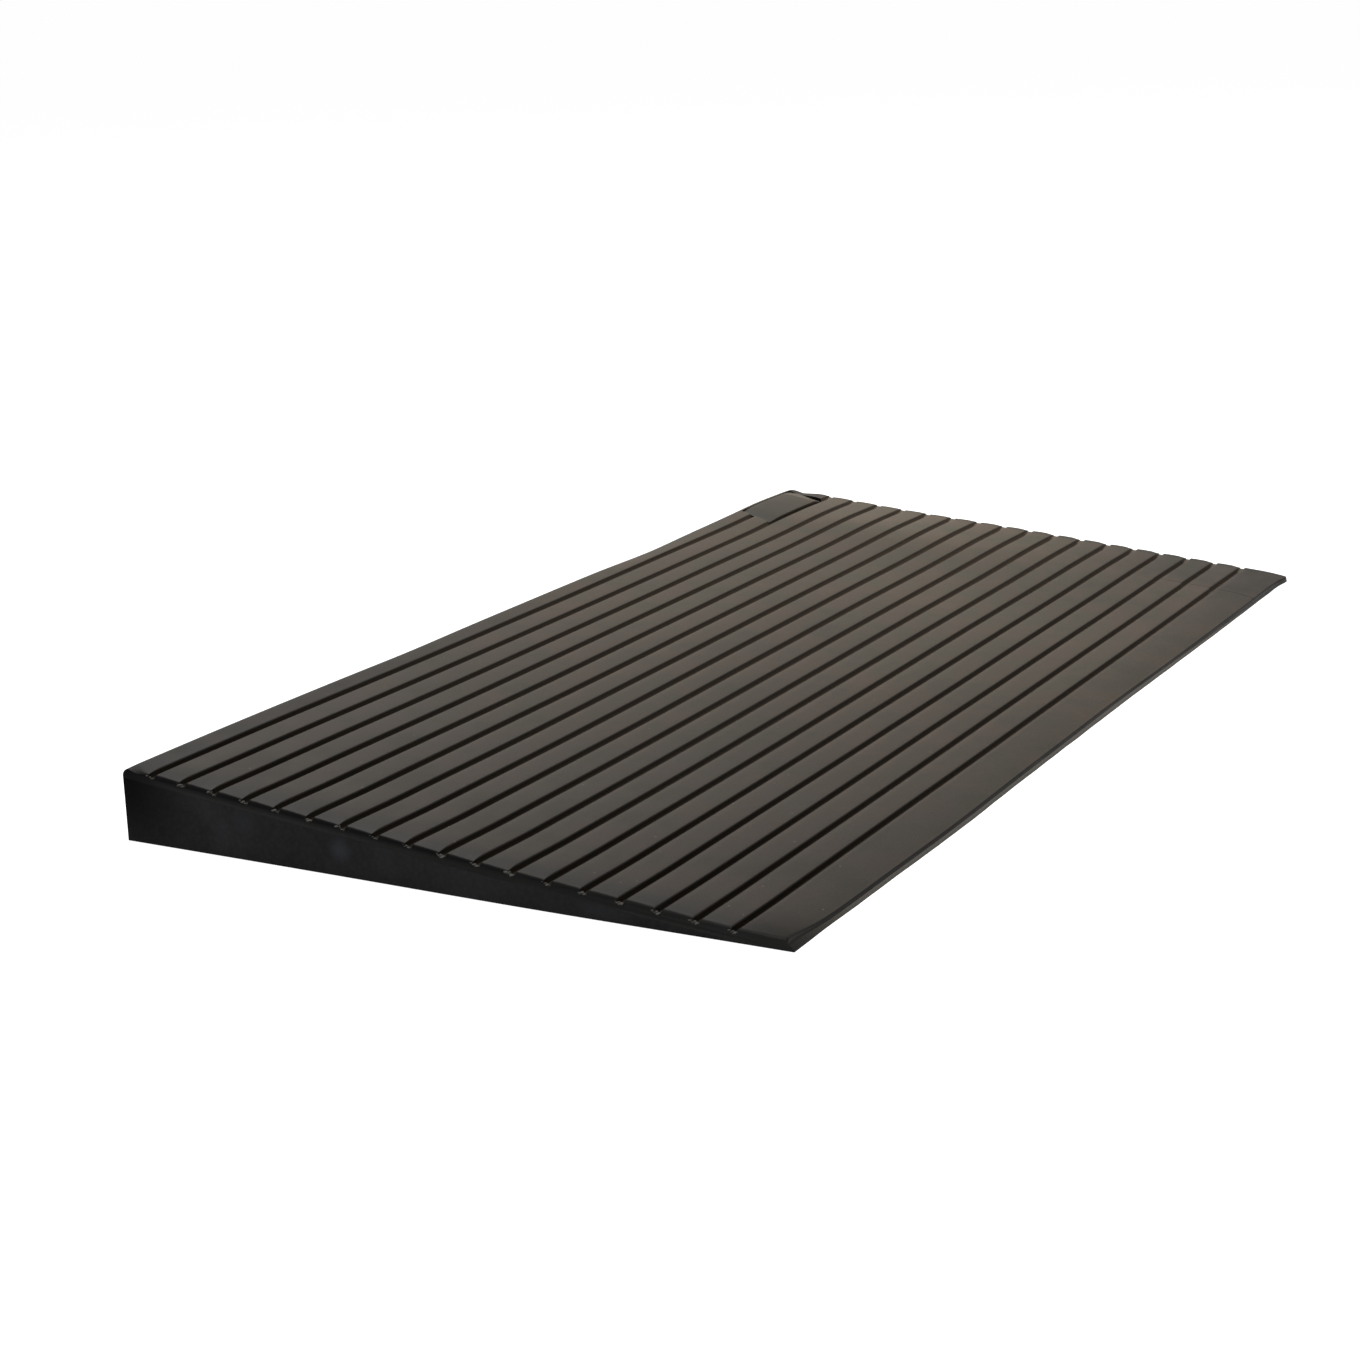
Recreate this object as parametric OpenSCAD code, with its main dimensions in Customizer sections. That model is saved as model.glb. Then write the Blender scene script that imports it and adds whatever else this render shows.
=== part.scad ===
// Solid rubber threshold ramp, laid on the floor with its high edge against a step.
// X runs along the doorway, Y runs up the slope and Z is up.
// The origin is on the floor, under the middle of the ramp.

/* [Ramp] */
// Length along the doorway
ramp_l = 1000; // [600:10:1500]
// Depth from the low lip to the high edge
ramp_d = 495; // [300:5:900]
// Height of the high edge
ramp_h = 50; // [30:1:100]
// Height of the low lip
lip_h = 6; // [4:0.5:12]

/* [Edges] */
// Rounding of the high edge
rear_edge_r = 7; // [2:0.5:10]
// Rounding along the top of the lip
nose_r = 1.25; // [1:0.25:4]
// Radius of the rounding along both ends of the tread
end_r = 6; // [4:0.5:10]
// Depth to which that rounding drops at the end face
end_drop = 3; // [1:0.25:3.5]
// Reach of the thin toe at the foot of the lip
toe_w = 2.4; // [0.6:0.1:5]
// Height of the toe where it meets the lip
toe_h = 2.4; // [0.8:0.1:3]

/* [Wear layer] */
// Thickness of the wear layer, square to the slope
wear_t = 8; // [6:0.5:12]
// Thickness at which the core ends behind the lip
core_front_t = 2; // [1:0.25:4]

/* [Grooves] */
// Width of a groove
groove_w = 4.8; // [2:0.1:6]
// Depth of a groove
groove_depth = 4; // [2:0.25:5]
// Spacing of the grooves down the slope
groove_pitch = 25.5; // [18:0.1:40]
// Distance down the slope from the high edge to the first groove
first_groove = 24.6; // [16:0.1:30]
// Least width of the plain land between the last groove and the lip
front_land = 32; // [20:1:60]
// Rounding of the rib shoulders beside a groove
shoulder_r = 1.8; // [0.4:0.1:2]

/* [Name plate] */
// Length of the blank plate along the doorway
plate_l = 104; // [60:1:160]
// Thickness of the plate
plate_t = 2.8; // [2:0.1:3.5]
// Depth of the plate's face below the rib tops
plate_sink = 0.2; // [0:0.1:1]
// Length of the bevel at each end of the plate
bevel_l = 12; // [4:0.5:20]
// Drop of the bevel at each end of the plate
bevel_drop = 1.5; // [0.5:0.1:1.8]
// Gap between the plate and its pocket
plate_gap = 0.8; // [0.3:0.1:1.5]
// Width of the rim left along the high edge
rim_w = 8.5; // [8:0.5:14]
// Thickness of the wall left at the end of the pocket
end_wall = 20; // [7:0.5:30]
// Thickness of the adhesive film under the plate
film_t = 0.4; // [0.2:0.1:0.8]
// Distance of the film from the edges of the plate
film_inset = 2; // [0.5:0.5:6]

/* [Hidden] */
$fn = 48;

// Reach of a cut past the surface that it opens
over = 2;

// The slope starts at the lip's upper corner and is tangent to the rounding of the high edge
nose_y = toe_w - ramp_d / 2;
rear_y = ramp_d / 2;
crest = [rear_y - rear_edge_r, ramp_h - rear_edge_r];
to_crest = crest - [nose_y, lip_h];
slope = atan2(to_crest.y, to_crest.x) + asin(rear_edge_r / norm(to_crest));
function slope_z(y) = lip_h + (y - nose_y) * tan(slope);
normal = [-sin(slope), cos(slope)];
rear_corner = [rear_y, slope_z(rear_y)];
tread_run = (rear_y - nose_y) / cos(slope);

// The rounding of the lip is tangent to the slope and to the lip's upright face
nose_corner = [nose_y, lip_h];
nose_centre = [nose_y + nose_r, slope_z(nose_y + nose_r) - nose_r / cos(slope)];

// The wear layer closes over the front of the core, where the core has thinned to its least
wear_drop = wear_t / cos(slope);
thin_y = nose_y + (core_front_t + wear_drop - lip_h) / tan(slope);
core_front_y = max(thin_y, nose_y + wear_t);

// The rounding along an end starts this far from the end face
end_reach = sqrt(end_r * end_r - (end_r - end_drop) * (end_r - end_drop));

groove_n = floor((tread_run - first_groove - front_land) / groove_pitch) + 1;
function groove_at(i) = first_groove + i * groove_pitch;

// The pocket runs from the rim to the second groove, and the plate ends at that groove's wall
pocket_x1 = ramp_l / 2 - end_wall;
pocket_x0 = pocket_x1 - plate_l - 2 * plate_gap;
pocket_depth = plate_sink + plate_t + film_t;
plate_x0 = pocket_x0 + plate_gap;
plate_s0 = rim_w + plate_gap;
plate_s1 = groove_at(1) - groove_w / 2;

// A section drawn in Y and Z, drawn out along X
module along_x(x0, x1) {
    translate([x0, 0, 0])
        rotate([90, 0, 90])
            linear_extrude(x1 - x0)
                children();
}

// Places a section with its x axis up the slope, from the sharp high corner
module slope_section() {
    translate(rear_corner)
        rotate(slope)
            children();
}

// Places solids with Y up the slope and Z square to it, from the sharp high corner
module on_slope() {
    translate([0, rear_corner.x, rear_corner.y])
        rotate([slope, 0, 0])
            children();
}

// What a rounding takes off the sharp corner between two tangent points
module corner_waste(corner, centre, r, tangent_a, tangent_b) {
    outside = corner + over * (corner - centre) / norm(corner - centre);
    difference() {
        polygon([tangent_a, outside, tangent_b, centre]);
        translate(centre)
            circle(r);
    }
}

module wedge_section() {
    difference() {
        polygon([
            [-ramp_d / 2, 0],
            [rear_y, 0],
            rear_corner,
            nose_corner,
            [nose_y, toe_h],
            [-ramp_d / 2, toe_h / 2]
        ]);
        corner_waste(rear_corner, crest, rear_edge_r,
            crest + rear_edge_r * normal, [rear_y, crest.y]);
        corner_waste(nose_corner, nose_centre, nose_r,
            [nose_y, nose_centre.y], nose_centre + nose_r * normal);
    }
}

module core_section() {
    intersection() {
        wedge_section();
        polygon([
            [core_front_y, 0],
            [rear_y, 0],
            [rear_y, slope_z(rear_y) - wear_drop],
            [core_front_y, slope_z(core_front_y) - wear_drop]
        ]);
    }
}

// A square-bottomed groove with rounded shoulders, open upwards
module groove_section() {
    mouth = groove_w / 2 + shoulder_r;
    translate([-groove_w / 2, -groove_depth])
        square([groove_w, groove_depth + over]);
    difference() {
        translate([-mouth, -shoulder_r])
            square([2 * mouth, shoulder_r + over]);
        for (side = [-1, 1])
            translate([side * mouth, -shoulder_r])
                circle(shoulder_r);
    }
}

// The first groove stops at the pocket, so it is cut apart from the others
module wear_section() {
    difference() {
        wedge_section();
        core_section();
        slope_section()
            for (i = [1 : groove_n - 1])
                translate([-groove_at(i), 0])
                    groove_section();
    }
}

module first_groove_cut() {
    along_x(-ramp_l / 2 - over, pocket_x0 + over)
        slope_section()
            translate([-groove_at(0), 0])
                groove_section();
}

// What the rounding along one end takes off the tread
module end_waste() {
    on_slope()
        translate([0, over, 0])
            rotate([90, 0, 0])
                linear_extrude(tread_run + 2 * over)
                    translate([ramp_l / 2 - end_reach, -end_r])
                        difference() {
                            square([end_reach + over, end_r + over]);
                            circle(end_r);
                        }
}

module pocket_cut() {
    on_slope()
        translate([pocket_x0, -groove_at(1), -pocket_depth])
            cube([pocket_x1 - pocket_x0, groove_at(1) - rim_w, pocket_depth + over]);
}

module crumb_core() {
    color("#242526")
        along_x(-ramp_l / 2, ramp_l / 2)
            core_section();
}

module wear_layer() {
    color("#4e4942")
        difference() {
            along_x(-ramp_l / 2, ramp_l / 2)
                wear_section();
            first_groove_cut();
            end_waste();
            mirror([1, 0, 0])
                end_waste();
            pocket_cut();
        }
}

module name_plate() {
    color("#55524c")
        on_slope()
            translate([plate_x0, -plate_s0, -plate_sink - plate_t])
                rotate([90, 0, 0])
                    linear_extrude(plate_s1 - plate_s0)
                        polygon([
                            [0, 0],
                            [plate_l, 0],
                            [plate_l, plate_t - bevel_drop],
                            [plate_l - bevel_l, plate_t],
                            [bevel_l, plate_t],
                            [0, plate_t - bevel_drop]
                        ]);
}

module plate_adhesive() {
    color("#8c8a80")
        on_slope()
            translate([plate_x0 + film_inset, film_inset - plate_s1, -pocket_depth])
                cube([plate_l - 2 * film_inset, plate_s1 - plate_s0 - 2 * film_inset, film_t]);
}

crumb_core();
wear_layer();
name_plate();
plate_adhesive();
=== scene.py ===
from functools import partial
from math import asin, atan2, cos, exp, hypot, pi, radians, sin, sqrt, tan

import bmesh
import bpy
from mathutils import Matrix, Vector, noise


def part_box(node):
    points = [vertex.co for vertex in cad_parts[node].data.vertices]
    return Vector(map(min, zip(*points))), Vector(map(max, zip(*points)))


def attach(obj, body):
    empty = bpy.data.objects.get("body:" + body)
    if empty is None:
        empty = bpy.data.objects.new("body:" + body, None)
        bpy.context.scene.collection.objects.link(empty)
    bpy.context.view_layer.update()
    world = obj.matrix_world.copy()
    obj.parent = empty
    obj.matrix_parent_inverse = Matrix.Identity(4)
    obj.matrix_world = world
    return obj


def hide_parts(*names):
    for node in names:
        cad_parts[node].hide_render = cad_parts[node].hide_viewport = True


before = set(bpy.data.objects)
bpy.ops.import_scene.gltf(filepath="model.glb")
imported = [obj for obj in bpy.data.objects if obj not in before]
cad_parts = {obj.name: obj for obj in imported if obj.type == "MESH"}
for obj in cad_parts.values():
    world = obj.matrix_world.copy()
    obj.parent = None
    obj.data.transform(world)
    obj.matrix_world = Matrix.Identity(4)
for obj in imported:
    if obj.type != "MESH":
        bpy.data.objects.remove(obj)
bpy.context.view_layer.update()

# The looks of a solid rubber threshold ramp. Sizes are in millimetres, in the frame of the solids:
# X along the doorway, Y up the slope, Z up, with the origin on the floor under the middle.
# The near end is at -X and the far end, which has the plate, at +X. In the functions, s is a distance
# down the slope from the sharp high corner, and h is a height square to the slope.
MM = 0.001


def corners_mm(node):
    """The lowest and highest corners of one of the solids."""
    return [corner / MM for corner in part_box(node)]


# Sizes taken from the solids
wear_low, wear_high = corners_mm("wear_layer")
plate_low, plate_high = corners_mm("name_plate")
RAMP_L = wear_high.x - wear_low.x
RAMP_D = wear_high.y - wear_low.y
RAMP_H = wear_high.z
CORE_FRONT_Y = corners_mm("crumb_core")[0].y
PLATE_X0 = plate_low.x
PLATE_X1 = plate_high.x

# Driving sizes of the solids that their boxes don't give
LIP_H = 6.0
REAR_EDGE_R = 7.0
TOE_W = 2.4
TOE_H = 2.4
WEAR_T = 8.0
GROOVE_N = 18
GROOVE_W = 4.8
GROOVE_DEPTH = 4.0
GROOVE_PITCH = 25.5
FIRST_GROOVE = 24.6
RIM_W = 8.5
PLATE_T = 2.8
PLATE_SINK = 0.2
PLATE_GAP = 0.8
FILM_T = 0.4
FILM_INSET = 2.0

# The slope runs from the lip's upper corner and is tangent to the rounding of the high edge
HALF_L = RAMP_L / 2
REAR_Y = RAMP_D / 2
NOSE_Y = TOE_W - RAMP_D / 2
CREST_Y = REAR_Y - REAR_EDGE_R
CREST_Z = RAMP_H - REAR_EDGE_R
SLOPE = atan2(CREST_Z - LIP_H, CREST_Y - NOSE_Y) + asin(
    REAR_EDGE_R / hypot(CREST_Z - LIP_H, CREST_Y - NOSE_Y))
REAR_Z = LIP_H + (REAR_Y - NOSE_Y) * tan(SLOPE)
WEAR_DROP = WEAR_T / cos(SLOPE)
TREAD_RUN = (REAR_Y - NOSE_Y) / cos(SLOPE)
REAR_TANGENT = REAR_EDGE_R / tan((pi / 2 - SLOPE) / 2)
POCKET_X0 = PLATE_X0 - PLATE_GAP
POCKET_X1 = PLATE_X1 + PLATE_GAP
POCKET_DEPTH = PLATE_SINK + PLATE_T + FILM_T


def groove_at(i):
    """Distance down the slope from the sharp high corner to the middle of a groove."""
    return FIRST_GROOVE + i * GROOVE_PITCH


# From here on come the finer shapes that only the eye needs. A name that ends in _X or _DOWN holds where
# a change starts and where it is complete, along X or down the slope, and one in _IN holds the same as
# distances from the end. _REACH is how far a form reaches, _L its length or the length of one wave, and
# _SEED its place in the noise. _STEPS and _POINTS are counts along or round a form. A swell is a place,
# its half width and its rise.

# Ribs and grooves
RIB_CROWN = 0.15  # rise of a rib's middle above its shoulders
RIB_POINTS = 5
MID_RIB = 0.5  # the middle of a rib, as a share across it
ROLL_REACH = 13.0  # width of the soft roll-off along the high edge
ROLL_DROP = 0.6  # fall of that roll-off
CREST_STEPS = 8
UPPER_R = 1.3  # rounding of a groove's upper shoulder
LOWER_R = 2.4  # rounding of its lower shoulder
UPPER_MOUTH = GROOVE_W / 2 + UPPER_R
LOWER_MOUTH = GROOVE_W / 2 + LOWER_R
SHOULDER_STEPS = 4
GROOVE_FOOT = [(0.46, 0.84), (0.36, 1.0)]  # foot of a groove's wall, in shares of its width and depth
LOW_NARROW = 0.15  # share by which the lowest grooves are narrower
LOW_NARROW_DOWN = (groove_at(GROOVE_N - 8), groove_at(GROOVE_N - 3))
WANDER = 0.45  # sideways wander of a groove
WANDER_L = 170.0
WANDER_SEED = 7.3  # step in the noise from one groove to the next
OFF_GRID = 0.5  # keeps off the noise's grid points, where it is always 0
STATION_STEP = 10.0  # spacing of the sections along the ramp
END_INSETS = [0, 0.15, 0.45, 0.9, 1.5, 2.2, 3, 4, 5.2, 6.5, 8, 10, 12.5, 16]  # closer sections at an end
SMOOTH_ANGLE = radians(38)  # edges sharper than this stay crisp

# The plain land and the lip
LAND_POINTS = 15
LAND_REACH = 24.0  # width over which the land bends down to the lip
LAND_FALL = 1.9  # fall of the land where its bend meets the nose
LAND_SWELLS = [(-500, 30, -2.8), (180, 130, 0.7), (480, 90, -0.6)]  # changes of that fall along X
NOSE_REACH = 1.2  # width of the rounded nose
NOSE_STEPS = 6
NOSE_DUST = 3  # steps over which the dust ends there
NOSE_SWELLS = [(-500, 40, 1.6), (60, 120, 0.4), (520, 190, -1.4), (500, 25, -1.6)]  # set-back of the nose
LIP_SWELLS = [(-480, 50, -0.7), (-260, 90, 1.4), (60, 90, -0.6), (330, 130, 0.6),
              (495, 12, 1.0)]  # how far nose and toe together lie forward
TIP_R = 1.5  # rounding of the lip's far corner
NEAR_TOE = 0.8  # share by which the toe is higher at the near end
NEAR_TOE_X = (-440, -495)
FAR_TOE = -0.4  # the same for the far end
FAR_TOE_X = (50, 300)
TOE_PROFILE = [(0.2, 0.8), (0.9, 0.3), (1.0, 0.15)]  # points of the toe, in shares of its reach and height
TOE_UNEVEN = 0.3  # unevenness of the toe's edge
TOE_UNEVEN_L = 22.0
TOE_SEED = 3.1
TOE_LEAST = 0.4  # least reach of the toe

# How a rib's end rounds down: reach along X and fall, on the rib's high side and on its low side
NEAR_END = ((1.8, 2.6), (0.8, 0.6))
FAR_END = ((6.0, 4.5), (5.0, 3.5))
END_EASE = 0.6  # power of the change from the high side to the low side
NEAR_CURVE = 1.4  # power of the near end's curve
NEAR_DARK = 0.25  # share of that curve over which the dust ends; the darker rib end is partly painted shade
NEAR_START_DOWN = (1, 14)
NEAR_SAG = 1.1  # soft fall of the upper ribs towards the near end
NEAR_SAG_DOWN = (390, 280)
NEAR_SAG_REACH = 14.0
FAR_LEAST = 0.15  # share of the far rounding that the lower ribs have
FAR_FULL_DOWN = (300.0, 130.0)
FAR_TUCK = 0.8  # further fall of a rib's low side at the far end
FAR_TUCK_ACROSS = (0.6, 1)  # shares across the rib between which that sets in
FAR_TUCK_REACH = FAR_END[0][0]
FAR_DARK = 0.35  # share of the dust taken off at the far end: painted shade in place of the darker reflection of the rounded rib ends
FAR_DARK_IN = (11.0, 5.0)
FAR_FILL = 0.6  # share by which the grooves are shallower at the far end
FAR_FILL_REACH = 14.0
EDGE_R = 0.5  # rounding of the upright and bottom edges of the ends

# Where the near end's rounding grows, towards its high corner and towards its low corner:
# where that starts and is complete down the slope, and the reach and the fall there
NEAR_CORNERS = [(FIRST_GROOVE - UPPER_MOUTH, 4.0, 9.0, 2.4),
                (groove_at(GROOVE_N - 3), TREAD_RUN - 20, 1.6, 1.0)]

# The faint mark that an insert of the mould has left across the lowest ribs and the land
MARK_X = 407.0
MARK_BOW = 3.0  # bow of the mark along X
MARK_BOW_FROM = groove_at(GROOVE_N - 3)
MARK_W = 1.6  # half width of the mark
MARK_DEPTH = 0.35
MARK_SHIFT = 0.7  # step in the grooves where they cross it
MARK_SHIFT_REACH = 3.0
MARK_DOWN = (groove_at(GROOVE_N - 4), groove_at(GROOVE_N - 2))
MARK_STATIONS = range(-3, 9)  # further sections across the mark, in halves of MARK_W

# The blank plate: a long soft bevel at its near end, a short crisp one at its far end
NEAR_BEVEL_L = 22.0
NEAR_BEVEL_DROP = 1.0
FAR_BEVEL_L = 13.0
FAR_BEVEL_DROP = (1.1, 2.1)  # at the far edge's high corner and at its low corner
FAR_BEVEL_DOWN = (20, 46)
FAR_SKEW = 1.8  # width to which the gap at its far edge opens
FAR_SKEW_FROM = 22.0  # distance down the slope at which that gap starts
PLATE_PLAY = 0.1  # gap between the plate and the foot of the rim's wall
PLATE_STEPS = 34
PLATE_CRISP = 0.3  # a further section's distance from each end
BEVEL_CRISP = 0.4  # that of two more from the far bevel's edge

# The plate's pocket
WALL_DRAFT = 0.35  # slant of the pocket's walls
NEAR_LEAN = (-3.0, 19.0)  # shift of its near wall towards the near end, at its high and low corners
NEAR_LEAN_FADE = (60, 50)  # distances outside and inside the pocket over which this ends
FAR_LEAN = (-10.0, 2.0)  # the same for its far wall
FAR_LEAN_FADE = 40  # distance inside the pocket over which this ends
LEAN_FOOT = 10  # distance below the pocket over which both end
WALL_FALL = 1.9  # fall of the wall beyond the plate, towards its high corner
WALL_FALL_DOWN = (44, 14)
WALL_RIM_DOWN = (RIM_W, 2.5 * RIM_W)  # where the wall leaves the rim, which doesn't fall
WALL_ROUND = 0.6  # share of the far rounding that the wall has
WALL_ROUND_DOWN = (54, 44)

# Slabs that lie in the pocket, and the film of adhesive
SLAB_STEPS = 8
SLAB_TURN = 3  # steps round its upper edges
SLAB_EDGE = 0.4  # rounding of those edges, as a share of its thickness
SLAB_EDGE_MOST = 0.5  # greatest rounding
FILM_STEPS = 26
CREEP = 0.8  # creep of the film's edges
CREEP_L = 9.0
CREEP_SEED = (2.3, 5.7)  # places of the two edges in the noise

# The seam of the two rubbers, and the core with its lumpy end faces
SEAM_STEPS = 90
SEAM_PLACES = [CORE_FRONT_Y + (REAR_Y - CORE_FRONT_Y) * (k / SEAM_STEPS) for k in range(SEAM_STEPS + 1)]
CORE_ROWS = 8  # rows of points up an end face
LUMP = 0.5  # height of the lumps
LUMP_SIZE = (24.0, 14.0)  # their spacing up the slope and upright
LUMP_EASE = 0.3  # power by which they end at the high face and at the lip

# Crumbs of flash at a groove's end: place across the groove, height, half width and half height of each
FLASH = [(-3.6, -2.2, 1.2, 0.6), (-2.0, -3.0, 1.3, 0.6), (-0.2, -3.6, 1.1, 0.45)]
FLASH_IN = 0.8  # distance of the crumbs' middle from the end
FLASH_OUT = 1.4  # half length of a crumb along X
FLASH_VARIES = 0.9  # share by which their sizes vary
FLASH_RAGGED = 0.5  # share by which their surface is ragged
FLASH_RAGS = 1.7  # fineness of that raggedness
FLASH_SEED = (11.7, 40.3, 3.9)  # steps in the noise by groove, by end and by crumb
FAR_FLASH = 0.55  # size of the far end's crumbs as a share of the near end's

# The set that the rubber has taken
EDGE_LIFT = 1.15  # rise of the high edge
EDGE_DIPS = [(-170, 60, -0.6), (205, 65, -1.7)]
EDGE_UP = (0.955, 0.99)  # shares of the depth between which the edge's rise takes over
TREAD_LIFT = 0.8  # rise of the upper tread
TREAD_SWELLS = [(-400, 150, 1.0), (425, 75, 2.2)]
FAR_LIFT = 1.2  # further rise of its far half
FAR_LIFT_X = (0, 350)
DISH = 1.2  # sag of the middle of the near half
DISH_X = (200, -200)
HOLLOW = (-300, 230)  # place of a shallow hollow in it, along X and down from the high edge
HOLLOW_REACH = (170, 120)
HOLLOW_DEPTH = 1.3
SAG_X = (-520, -430)  # both sags end towards the near end
FAR_SHORT = 11.0  # how far the far end's high corner falls short of square
FAR_SHORT_FROM = 380.0  # place along X at which this starts
FAR_BITES = [(130, 60, 2.0)]  # further shortfall, at a place down from the high edge
END_BOWS = [(320, 130, 1.8)]  # bow of the near end, at a place down from the high edge
END_BOW_REACH = 100.0
LAND_CURL = [(-HALF_L, 27.0, 0.8)]  # rise of the near low corner
LAND_CURL_DOWN = (groove_at(GROOVE_N - 2) + 8, RAMP_D - 25)


def clamped(value):
    """The value, held between 0 and 1."""
    return min(max(value, 0), 1)


def soft_step(low, high, value):
    """0 at low, 1 at high and a soft ramp between them."""
    t = clamped((value - low) / (high - low))
    return t * t * (3 - 2 * t)


def between(low, high, share):
    """The value at a share of the way from low to high."""
    return low + (high - low) * share


def fade(away, reach):
    """1 where away is 0, falling evenly to 0 at the reach."""
    return max(1 - away / reach, 0)


def arch(share):
    """0 at both ends and 1 in the middle."""
    return 4 * share * (1 - share)


def swell(x, swells):
    """Sum of the swells at x."""
    return sum(rise * exp(-((x - place) / width) ** 2) for place, width, rise in swells)


def on_slope(s, h):
    """The (y, z) of a point s down the slope and h square to it."""
    return (REAR_Y - s * cos(SLOPE) - h * sin(SLOPE),
            REAR_Z - s * sin(SLOPE) + h * cos(SLOPE))


def tread_z(y):
    """Height of the tread over a place on the floor."""
    return REAR_Z - (REAR_Y - y) * tan(SLOPE)


def wall_lean(x, s):
    """Shift along X of the pocket's two walls, which lean towards the near end down the slope."""
    low = clamped((s - RIM_W) / (groove_at(1) - RIM_W))
    outside, inside = NEAR_LEAN_FADE
    near = min(soft_step(POCKET_X0 - outside, POCKET_X0, x), soft_step(POCKET_X0 + inside, POCKET_X0, x))
    far = min(soft_step(POCKET_X1 - FAR_LEAN_FADE, POCKET_X1, x), soft_step(HALF_L, POCKET_X1, x))
    lean = near * between(*NEAR_LEAN, low) + far * between(*FAR_LEAN, low)
    return lean * soft_step(groove_at(1) + LEAN_FOOT, groove_at(1), s)


def settled(x, y, z):
    """A point in metres, after the rubber has taken its set: the high side undulates, the foot is flat."""
    up = (y + REAR_Y) / RAMP_D
    down = REAR_Y - y
    swells = swell(x, TREAD_SWELLS)
    tread = up * (TREAD_LIFT + FAR_LIFT * soft_step(*FAR_LIFT_X, x) + swells)
    away = Vector(((x - HOLLOW[0]) / HOLLOW_REACH[0], (down - HOLLOW[1]) / HOLLOW_REACH[1]))
    sag = DISH * arch(up) * soft_step(*DISH_X, x) + HOLLOW_DEPTH * exp(-away.length_squared)
    tread -= sag * soft_step(*SAG_X, x)
    edge = EDGE_LIFT + swells + swell(x, EDGE_DIPS)
    rise = between(tread, edge, soft_step(*EDGE_UP, up))
    rise += swell(x, LAND_CURL) * soft_step(*LAND_CURL_DOWN, down)
    bow = swell(down, END_BOWS) * soft_step(END_BOW_REACH - HALF_L, -HALF_L, x)
    short = (FAR_SHORT * up + swell(down, FAR_BITES)) * soft_step(FAR_SHORT_FROM, HALF_L, x)
    return Vector((x - bow - short - wall_lean(x, down), y, z + rise * z / tread_z(y))) * MM


def edge_inset(x):
    """Distance by which the upright and bottom edges of an end are drawn in at x."""
    near = max(EDGE_R - (HALF_L - abs(x)), 0)
    return EDGE_R - sqrt(max(EDGE_R ** 2 - near ** 2, 0))


def eased(x, y, z):
    """A point of a section, drawn in where the edges of an end round over."""
    return (x, min(y, REAR_Y - edge_inset(x)), max(z, edge_inset(x)))


def put(name, data):
    """An object in the scene, made of a mesh, a lamp or a lens."""
    thing = bpy.data.objects.new(name, data)
    bpy.context.scene.collection.objects.link(thing)
    return thing


def add_piece(name, points, faces, material, slot, *nodes):
    """A closed mesh, in metres, that rides with the ramp and stands for the named solids."""
    mesh = bpy.data.meshes.new(name)
    mesh.from_pydata(points, [], faces)
    shape = bmesh.new()
    shape.from_mesh(mesh)
    bmesh.ops.recalc_face_normals(shape, faces=shape.faces)
    shape.to_mesh(mesh)
    shape.free()
    mesh.shade_smooth()
    mesh.set_sharp_from_angle(angle=SMOOTH_ANGLE)
    mesh.materials.append(material)
    piece = put(name, mesh)
    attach(piece, "root")
    if nodes:
        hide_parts(*nodes)
    return piece


def loft_faces(rings, count):
    """Faces that join closed rings of points in turn, with one over each end."""
    faces = []
    for ring in range(rings - 1):
        for k in range(count):
            a = ring * count + k
            b = ring * count + (k + 1) % count
            faces.append((a, b, b + count, a + count))
    faces.append(tuple(range(count)))
    faces.append(tuple(range((rings - 1) * count, rings * count)))
    return faces


def stations():
    """Places along X of the sections: even steps, closer at the ends, the pocket and the insert mark."""
    first = HALF_L - END_INSETS[-1]
    steps = round(2 * first / STATION_STEP)
    places = [between(-first, first, k / steps) for k in range(steps + 1)]
    places += [side * (HALF_L - inset) for inset in END_INSETS for side in (-1, 1)]
    places += [POCKET_X0, POCKET_X0 + WALL_DRAFT, POCKET_X1 - WALL_DRAFT, POCKET_X1]
    places += [MARK_X + MARK_W * k / 2 for k in MARK_STATIONS]
    return sorted({round(place, 3) for place in places})


def pocket_share(x):
    """1 over the floor of the plate's pocket and 0 outside its two end walls."""
    return clamped(min((x - POCKET_X0) / WALL_DRAFT, (POCKET_X1 - x) / WALL_DRAFT))


def groove_middle(i, x):
    """Distance down the slope to a groove's middle, with its wander and its step at the insert mark."""
    sway = WANDER * noise.noise(Vector((x / WANDER_L, WANDER_SEED * i + OFF_GRID, OFF_GRID)))
    passed = soft_step(MARK_X - MARK_SHIFT_REACH, MARK_X + MARK_SHIFT_REACH, x)
    return groove_at(i) + sway - MARK_SHIFT * passed * soft_step(*MARK_DOWN, groove_at(i))


def groove_width(middle):
    """Width of a groove as a share of the full one. The lowest grooves are narrower."""
    return 1 - LOW_NARROW * soft_step(*LOW_NARROW_DOWN, middle)


def groove_cut(i, x):
    """Depth of a groove as a share of the full one. The first groove stops at the pocket."""
    if i == 0 and x > POCKET_X1 - WALL_DRAFT:
        return 0
    return 1 - FAR_FILL * soft_step(HALF_L - FAR_FILL_REACH, HALF_L, x)


def end_shape(end, across):
    """Reach and fall of an end's rounding at a share across a rib. The high side, at 0, rounds the most."""
    (high_reach, high_fall), (low_reach, low_fall) = end
    share = across ** END_EASE
    return between(high_reach, low_reach, share), between(high_fall, low_fall, share)


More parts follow.
